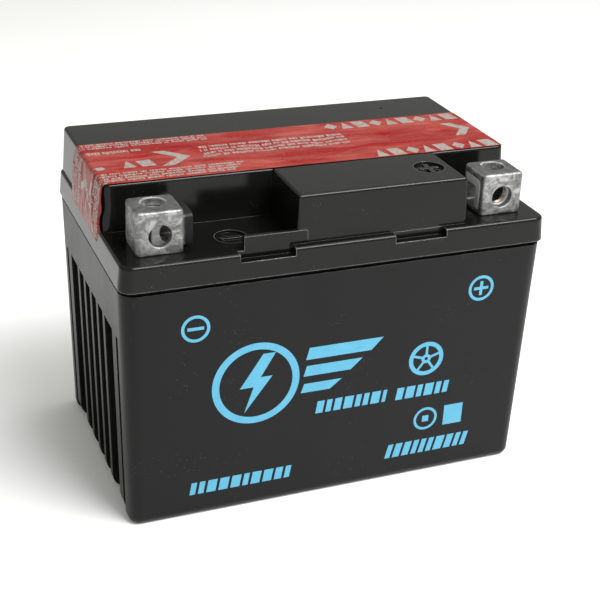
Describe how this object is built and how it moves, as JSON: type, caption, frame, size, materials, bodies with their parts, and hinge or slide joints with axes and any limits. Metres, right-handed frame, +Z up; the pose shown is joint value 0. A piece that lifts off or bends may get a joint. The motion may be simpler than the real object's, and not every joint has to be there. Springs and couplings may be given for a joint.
{
  "type": "motorcycle battery",
  "caption": "Small sealed 12 V motorcycle battery with ribbed ends, two lead terminals with loose nuts, and peel-off tape over its filler ports.",
  "frame": {"origin": "centre of the case's bottom face", "axes": "+X along the length towards the positive terminal; -Y is the front, on the terminals' side; +Z up"},
  "size_m": [0.113, 0.07, 0.0853],
  "materials": {
    "case_plastic": "matte",
    "lid_plastic": "satin",
    "tape_film": "gloss",
    "lead": "satin",
    "nut_steel": "satin",
    "valve_rubber": "matte",
    "seal_rubber": "matte",
    "epoxy": "gloss",
    "positive_paste": "matte",
    "negative_paste": "matte",
    "glass_mat": "matte",
    "arrestor_frit": "matte"
  },
  "bodies": {
    "battery": {"container": "case_plastic", "lid": "lid_plastic", "flame_arrestor_disc": "arrestor_frit", "vent_cover": "lid_plastic", "positive_terminal": "lead", "negative_terminal": "lead", "positive_o_ring": "seal_rubber", "negative_o_ring": "seal_rubber", "positive_epoxy_seal": "epoxy", "negative_epoxy_seal": "epoxy", "partition_weld_1": "lead", "partition_weld_2": "lead", "partition_weld_3": "lead", "partition_weld_4": "lead", "partition_weld_5": "lead", "negative_plates_cell_1": "negative_paste", "positive_plates_cell_1": "positive_paste", "glass_mat_separators_cell_1": "glass_mat", "negative_strap_cell_1": "lead", "positive_strap_cell_1": "lead", "negative_plates_cell_2": "negative_paste", "positive_plates_cell_2": "positive_paste", "glass_mat_separators_cell_2": "glass_mat", "negative_strap_cell_2": "lead", "positive_strap_cell_2": "lead", "negative_plates_cell_3": "negative_paste", "positive_plates_cell_3": "positive_paste", "glass_mat_separators_cell_3": "glass_mat", "negative_strap_cell_3": "lead", "positive_strap_cell_3": "lead", "negative_plates_cell_4": "negative_paste", "positive_plates_cell_4": "positive_paste", "glass_mat_separators_cell_4": "glass_mat", "negative_strap_cell_4": "lead", "positive_strap_cell_4": "lead", "negative_plates_cell_5": "negative_paste", "positive_plates_cell_5": "positive_paste", "glass_mat_separators_cell_5": "glass_mat", "negative_strap_cell_5": "lead", "positive_strap_cell_5": "lead", "negative_plates_cell_6": "negative_paste", "positive_plates_cell_6": "positive_paste", "glass_mat_separators_cell_6": "glass_mat", "negative_strap_cell_6": "lead", "positive_strap_cell_6": "lead"},
    "negative_nut": {"negative_angle_nut": "nut_steel"},
    "positive_nut": {"positive_angle_nut": "nut_steel"},
    "valve_cap": {"valve_cap": "valve_rubber"},
    "seal_tape": {"seal_tape": "tape_film"}
  },
  "joints": [
    {"name": "negative_nut_slide", "type": "slide", "parent": "battery", "child": "negative_nut", "axis": [1, 0, 0], "range_m": [-0.0028, 0.011]},
    {"name": "positive_nut_slide", "type": "slide", "parent": "battery", "child": "positive_nut", "axis": [-1, 0, 0], "range_m": [0, 0.0049]},
    {"name": "valve_cap_lift", "type": "slide", "parent": "battery", "child": "valve_cap", "axis": [0, 0, 1], "range_m": [0, 0.0004], "stiffness_N_per_m": 600, "springref_m": -0.0002},
    {"name": "seal_tape_lift", "type": "slide", "parent": "battery", "child": "seal_tape", "axis": [0, 0, 1], "range_m": [0, 0.04]}
  ]
}
